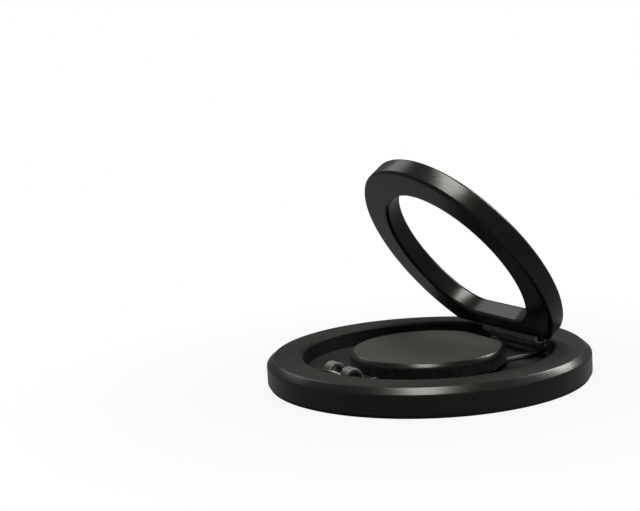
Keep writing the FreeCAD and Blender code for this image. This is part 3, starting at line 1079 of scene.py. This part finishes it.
@dataclass(frozen=True)
class SoftBox:
    """An oblong lamp that faces the holder.

    Attributes:
        name: Name of the lamp.
        place: Where it hangs.
        size: Its two sides.
        power: Its power, in watts.
        mirrored: Whether glossy surfaces show it.
    """

    name: str
    place: Triple
    size: Pair
    power: float
    mirrored: bool = True


@dataclass
class Studio:
    """A pale floor that fades into white, soft lamps and white surroundings.

    The floor turns from near_white to white between fade_start and fade_end. Scattered light sees the
    surroundings at the ambient level, and reflections see a share of their white. All lamps face aim.
    """

    floor_radius: float = 0.9
    floor_middle: float = 0.02
    floor_drop: float = 0.05 * MM
    floor_tone: Colour = (0.17, 0.17, 0.17)
    fade_start: float = 0.025
    fade_end: float = 0.075
    near_white: float = 0.92
    ambient: float = 0.08
    reflected: float = 0.05
    along: Triple = (-0.835, 0.55, 0.0)
    aim: Triple = (0.0, 0.0, 0.005)
    boxes: tuple[SoftBox, ...] = (
        SoftBox("overhead_box", (0.02, -0.03, 0.33), (0.20, 0.09), 0.85),
        SoftBox("back_box", (-0.053, 0.309, 0.248), (0.09, 0.13), 0.5),
        SoftBox("left_box", (-0.325, -0.022, 0.25), (0.16, 0.16), 0.13),
        SoftBox("right_fill", (0.315, 0.27, 0.171), (0.2, 0.2), 0.6, False),
        SoftBox("left_fill", (-0.325, -0.2, 0.125), (0.12, 0.12), 0.4, False),
    )

    def build(self) -> None:
        """Makes the floor, the world and the lamps."""
        self.floor()
        self.world()
        for box in self.boxes:
            self.lamp(box)

    def floor(self) -> None:
        """A flat disc under the holder, which fades out to white and is clear from below."""
        radius = np.concatenate([[0.0], np.geomspace(self.floor_middle, self.floor_radius, 12)])
        profile = np.stack([radius, np.full_like(radius, -self.floor_drop)], -1)
        floor = make_piece("studio_floor", [turned(profile, steps=96)])
        floor.data.flip_normals()
        made, board = new_material("floor_white")
        away = board.length(board.object_points())
        fade = board.spread(away, self.fade_start, self.fade_end, self.near_white, 1.0)
        shade = board.node("BsdfDiffuse", Color=rgba(self.floor_tone))
        white = board.node("Emission", Color=rgba(WHITE), Strength=1.0)
        upper = board.shader_mix(board.math("MULTIPLY", self.seen(board), fade), shade, white)
        below = board.node("NewGeometry").outputs["Backfacing"]
        board.show(board.shader_mix(below, upper, board.node("BsdfTransparent")))
        floor.data.materials.append(made)

    def world(self) -> None:
        """White for the camera, a share of it for reflections, and a soft level for scattered light."""
        world = bpy.data.worlds.new("studio_world")
        world.use_nodes = True
        bpy.context.scene.world = world
        board = Board(world.node_tree)
        soft = board.node("Background", Color=rgba(WHITE), Strength=self.ambient)
        white = board.node("Background", Color=rgba(WHITE), Strength=1.0)
        board.show(board.shader_mix(self.seen(board), soft, white), "World")

    def seen(self, board: Board) -> Socket:
        """How much white a light path is shown: all to the camera or through glass, less by gloss."""
        light = board.node("LightPath").outputs
        glossy = board.math("MULTIPLY", light[Ray.GLOSSY.value], self.reflected)
        clear = board.math("MAXIMUM", light[Ray.CAMERA.value], light[Ray.TRANSMISSION.value])
        return board.math("MAXIMUM", clear, glossy)

    def lamp(self, box: SoftBox) -> None:
        """Hangs a lamp and turns it to the holder."""
        data = bpy.data.lights.new(box.name, "AREA")
        data.shape = "RECTANGLE"
        data.size, data.size_y = box.size
        data.energy = box.power
        lamp = new_object(box.name, data)
        back = (Vector(box.place) - Vector(self.aim)).normalized()
        across = back.cross(Vector(self.along)).normalized()
        turn = Matrix((across.cross(back), across, back)).transposed()
        lamp.matrix_world = Matrix.Translation(box.place) @ turn.to_4x4()
        lamp.visible_glossy = box.mirrored


@dataclass
class Viewpoint:
    """The camera, fitted to the photograph's outline of the holder.

    Attributes:
        azimuth: Turn of the view round the holder; 0 looks along +Y.
        elevation: Height of the view above the horizon.
        roll: Turn about the line of sight.
        distance: From the target to the camera.
        focal: Focal length in image pixels.
        target: The point of the holder that the view is fitted on.
        pixel: Where that point lies in the image.
    """

    azimuth: float = 56.6
    elevation: float = 13.4
    roll: float = -2.5
    distance: float = 0.24
    focal: float = 1325.0
    target: Triple = (0.0, 0.0, 0.003)
    pixel: Pair = (428.0, 358.6)

    def build(self) -> None:
        """Aims the camera so that the target falls on its pixel, without any lens shift."""
        turn, rise = math.radians(self.azimuth), math.radians(self.elevation)
        back = Vector((math.sin(turn) * math.cos(rise), -math.cos(turn) * math.cos(rise),
                       math.sin(rise)))
        straight = back.to_track_quat("Z", "Y").to_matrix()
        level = straight @ Matrix.Rotation(math.radians(self.roll), 3, "Z")
        off_x = (self.pixel[0] - IMAGE_WIDTH / 2) / self.focal
        off_y = (IMAGE_HEIGHT / 2 - self.pixel[1]) / self.focal
        swing = Vector((off_x, off_y, -1)).rotation_difference(Vector((0, 0, -1)))
        data = bpy.data.cameras.new("photo_camera")
        data.sensor_width = SENSOR_MM
        data.lens = self.focal / IMAGE_WIDTH * SENSOR_MM
        data.clip_start, data.clip_end = 0.005, 10.0
        camera = new_object("photo_camera", data)
        place = Matrix.Translation(Vector(self.target) + back * self.distance)
        camera.matrix_world = place @ (level @ swing.to_matrix()).to_4x4()
        bpy.context.scene.camera = camera


def main() -> None:
    """Builds the holder's pieces, the studio and the camera."""
    logging.basicConfig(level=logging.INFO, format="%(name)s: %(message)s")
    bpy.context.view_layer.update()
    fold = next(joint for joint in frame["joints"] if joint["name"] == "ring_fold")
    hinge = Vector(fold["pos_m"])
    bpy.context.scene.view_settings.view_transform = "Standard"
    Viewpoint().build()
    Studio().build()
    for part in (BaseDisc(), HubCap(), SwivelSheet(hinge), HingePin(), FoldRing(hinge), HiddenPieces()):
        part.build()


if __name__ == "__main__":
    main()
